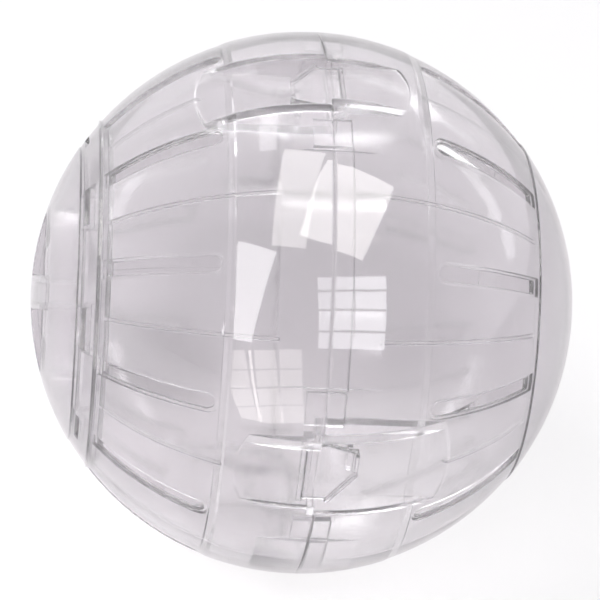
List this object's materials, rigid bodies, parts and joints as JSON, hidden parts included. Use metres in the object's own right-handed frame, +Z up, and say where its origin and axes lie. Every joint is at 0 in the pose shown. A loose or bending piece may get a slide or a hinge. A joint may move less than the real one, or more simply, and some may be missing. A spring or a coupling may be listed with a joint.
{
  "type": "hamster ball",
  "caption": "Clear plastic exercise ball for a hamster: snap-together slotted halves held by spring latches, with a lift-off round door.",
  "frame": {"origin": "centre of the ball", "axes": "+X along the ball's axis from the door to the closed cap, +Z up, -Y towards the viewer"},
  "size_m": [0.1799, 0.1786, 0.1786],
  "materials": {
    "clear_plastic": "gloss"
  },
  "bodies": {
    "left_half": {"left_half_shell": "clear_plastic"},
    "right_half": {"right_half_shell": "clear_plastic"},
    "door": {"door": "clear_plastic", "door_grip": "clear_plastic"},
    "front_latch": {"front_latch": "clear_plastic"},
    "back_latch": {"back_latch": "clear_plastic"},
    "top_latch": {"top_latch": "clear_plastic"},
    "bottom_latch": {"bottom_latch": "clear_plastic"}
  },
  "joints": [
    {"name": "halves_apart", "type": "slide", "parent": "left_half", "child": "right_half", "axis": [1, 0, 0], "range_m": [0, 0.12]},
    {"name": "door_off", "type": "slide", "parent": "left_half", "child": "door", "axis": [-1, 0, 0], "range_m": [0, 0.06]},
    {"name": "front_latch_lift", "type": "hinge", "parent": "left_half", "child": "front_latch", "pos_m": [-0.0034, -0.0851, 0], "axis": [0, 0, -1], "range_deg": [0, 12], "stiffness_Nm_per_rad": 0.05},
    {"name": "back_latch_lift", "type": "hinge", "parent": "left_half", "child": "back_latch", "pos_m": [-0.0034, 0.0851, 0], "axis": [0, 0, 1], "range_deg": [0, 12], "stiffness_Nm_per_rad": 0.05},
    {"name": "top_latch_lift", "type": "hinge", "parent": "right_half", "child": "top_latch", "pos_m": [0.0034, 0, 0.0851], "axis": [0, 1, 0], "range_deg": [0, 12], "stiffness_Nm_per_rad": 0.05},
    {"name": "bottom_latch_lift", "type": "hinge", "parent": "right_half", "child": "bottom_latch", "pos_m": [0.0034, 0, -0.0851], "axis": [0, -1, 0], "range_deg": [0, 12], "stiffness_Nm_per_rad": 0.05}
  ]
}
